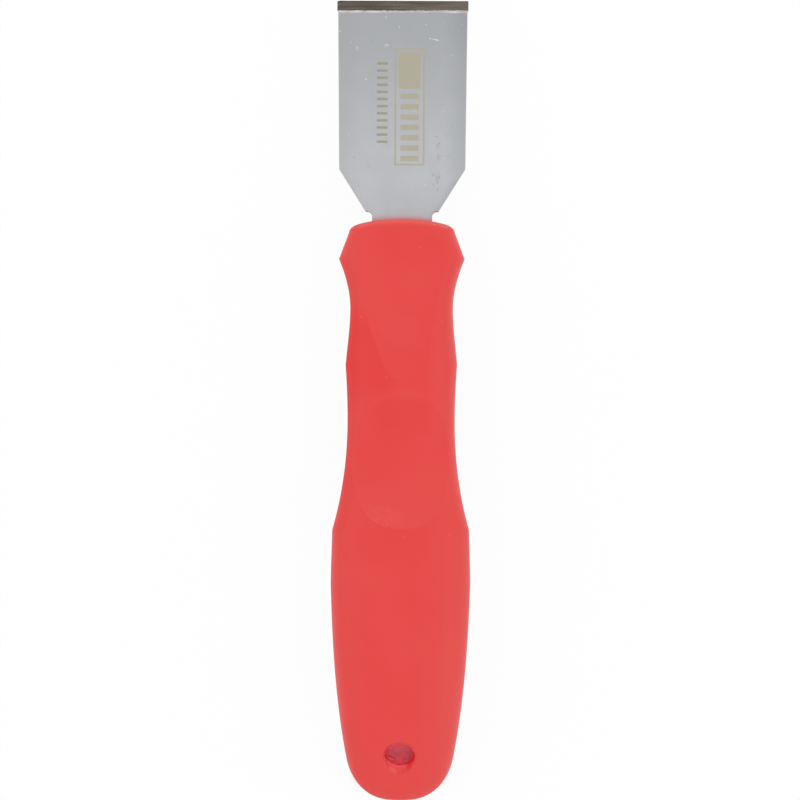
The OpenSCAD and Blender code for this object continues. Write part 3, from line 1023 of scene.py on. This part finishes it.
def make_floor():
    """A pale floor, plain white to the camera but for the paper under the handle, which keeps its shadow.

    Gloss sees it white too, but with the handle's red light painted in to the left of its front half and
    behind its butt.
    """
    corners = [[-1, -1, 0], [1, -1, 0], [1, 1, 0], [-1, 1, 0]]
    floor = mesh_object("floor", np.array(corners) * FLOOR_HALF, [[0, 1, 2, 3]])
    floor.location.z = -FLOOR_DROP * MM
    f = Finish("floor_paper", Base_Color=FLOOR_PAPER, Roughness=0.9, Specular_IOR_Level=0.0)
    camera, gloss, through = f.rays()
    strength = 0.35 + 0.45 * f.back.ramp(FACE_AT + 4.6, COLLAR_AT + 7.7)
    beside = f.x.ramp(-10, -15) * f.back.ramp(SHOULDER_AT + 4.9, GRIP_AT + 10.3) * strength
    behind = f.back.ramp(END_AT - 1, END_AT + 2) * 0.8
    # painted red light of the handle, seen only in gloss
    painted_red_light = gloss * beside.maths("MAXIMUM", behind)
    glow = f.raw("ShaderNodeEmission", {}, {"Color": f.blend(painted_red_light, WHITE, FLOOR_PAINTED_RED_LIGHT)})
    under = abs(f.x).ramp(12.5, 8) * f.back.band(FACE_AT - 0.5, FACE_AT + 3, END_AT - 4, END_AT - 0.5)
    seen = gloss.maths("MAXIMUM", camera * (1 - under)).maths("MAXIMUM", through)
    f.show_mix(seen * FLOOR_GLOW, f.shader, glow, "Material Output")
    give(floor, f.material)


def make_painted_hole_shade_and_light():
    """A disc just inside the lower rim, painted with the shade and the walls' red light on the creased
    paper under the hang hole.
    """
    angle = np.linspace(0, 2 * np.pi, PAPER_POINTS, endpoint=False)
    x = PAPER_R * np.cos(angle)
    y = FRONT_Y - HOLE_AT + PAPER_R * np.sin(angle)
    points = np.stack([x, y, np.full(PAPER_POINTS, PAPER_Z)], 1)
    paper = mesh_object("painted_hole_shade_and_light", points, [list(range(PAPER_POINTS))])
    f = Finish("painted_hole_shade_and_light", Roughness=0.9, Specular_IOR_Level=0.0)
    # painted shade and red light: the paper's tones, creases, a fold and its ridges
    past_middle = f.back - HOLE_AT
    base = f.blend(past_middle.ramp(-1, 1.2), PAPER_FRONT, PAPER_MIDDLE)
    base = f.blend(past_middle.ramp(1.4, 3.6), base, PAPER_REAR)
    crease_light = f.noise(0.8, 3, stretch=(0.6, 1.4, 1), seed=27.0).ramp(0.35, 0.65)
    base = f.blend(crease_light * 0.35, base, PAPER_CREASE_LIGHT)
    fold_shade = f.line((-3.1, HOLE_AT + 1.3), (-0.8, HOLE_AT + 2.4), 0.22)
    base = f.blend(fold_shade * 0.5, base, PAPER_FOLD_SHADE)
    rear_ridge_light = f.line((-3.0, HOLE_AT + 1.9), (-1.6, HOLE_AT + 2.6), 0.2)
    front_ridge_light = f.line((-3.0, HOLE_AT - 0.7), (-1.9, HOLE_AT), 0.3)
    base = f.blend((rear_ridge_light + front_ridge_light) * 0.45, base, PAPER_RIDGE_LIGHT)
    base = f.blend(abs(f.x).ramp(2.4, 3.2), base, PAPER_SIDES)
    give(paper, f.finish(Base_Color=base))


def make_world():
    """Even soft light for the part, and plain white for what the camera, gloss and clear things see."""
    world = bpy.data.worlds.new("studio")
    bpy.context.scene.world = world
    world.use_nodes = True
    sky = Nodes(world.node_tree)
    ambient = sky.tree.nodes["Background"]
    sky.put(ambient.inputs["Color"], WHITE)
    sky.put(ambient.inputs["Strength"], AMBIENT)
    white = sky.raw("ShaderNodeBackground", {}, {"Color": WHITE})
    camera, gloss, through = sky.rays()
    seen = camera.maths("MAXIMUM", gloss.maths("MAXIMUM", through))
    sky.show_mix(seen, ambient, white, "World Output")


def make_lamp(name, place, size, watts):
    """A square soft lamp that faces the middle of the tool."""
    lamp = bpy.data.lights.new(name, "AREA")
    lamp.size = size
    lamp.energy = watts
    holder = put_in_scene(name, lamp)
    x, y, z = place
    holder.location = place
    holder.rotation_euler = (np.arctan2(np.hypot(x, y), z), 0, np.arctan2(y, x) + np.pi / 2)


def make_bore_lamp(height):
    """A tiny lamp down the hang hole, for the light that real plastic lets through its walls."""
    lamp = bpy.data.lights.new("bore", "POINT")
    lamp.energy = BORE_LAMP_WATTS
    lamp.shadow_soft_size = BORE_LAMP_R * MM
    holder = put_in_scene("bore", lamp)
    x, y = BORE_LAMP_OFF
    holder.location = (x * MM, (FRONT_Y - HOLE_AT + y) * MM, height * MM)
    holder.visible_camera = False


def make_camera():
    """Straight above the tool, far enough away for the photograph's perspective in the hang hole."""
    camera = bpy.data.cameras.new("camera")
    camera.sensor_width = SENSOR
    camera.lens = SENSOR * CAMERA_AWAY / (IMAGE * PIXEL)
    holder = put_in_scene("camera", camera)
    aside = (IMAGE / 2 - PHOTO_CENTRE_X) * PIXEL
    up = (PHOTO_CENTRE_Y - IMAGE / 2) * PIXEL
    holder.location = (aside * MM, up * MM, (MID_Z + CAMERA_AWAY) * MM)
    holder.rotation_euler = (0, 0, np.radians(PHOTO_ROLL))
    bpy.context.scene.camera = holder


# The part

def finish_bore(handle, plastic, bore):
    """Gives the handle its plastic, and the faces down the hang hole the bore's own finish, with its
    painted light and shade.
    """
    give(handle, plastic, bore)
    mesh = handle.data
    centres = np.empty(len(mesh.polygons) * 3)
    mesh.polygons.foreach_get("center", centres)
    x, y, _ = centres.reshape(-1, 3).T / MM
    inside = np.hypot(x, y - (FRONT_Y - HOLE_AT)) < HOLE_R + 0.01
    mesh.polygons.foreach_set("material_index", inside.astype(np.int32))


plastic = red_plastic()
steel = ground_steel()
solder = bright_solder()
carbide = ground_carbide()
handle = make_handle()
face_out(handle)
finish_bore(handle, plastic, bore_painted_light_and_shade())
for piece, material in ((make_blade(), steel), (make_seam(), solder), (make_strip(), carbide)):
    face_out(piece)
    give(piece, material)
cad_finishes = {"handle": plastic, "blade": steel, "braze_seam": solder, "carbide_tip": carbide}
for name, material in cad_finishes.items():
    give(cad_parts[name], material)

# The studio

make_floor()
make_painted_hole_shade_and_light()
make_world()
for name, place, size, watts in LAMPS:
    make_lamp(name, place, size, watts)
for height in BORE_LAMP_HEIGHTS:
    make_bore_lamp(height)
make_camera()
bpy.context.scene.view_settings.view_transform = "Standard"
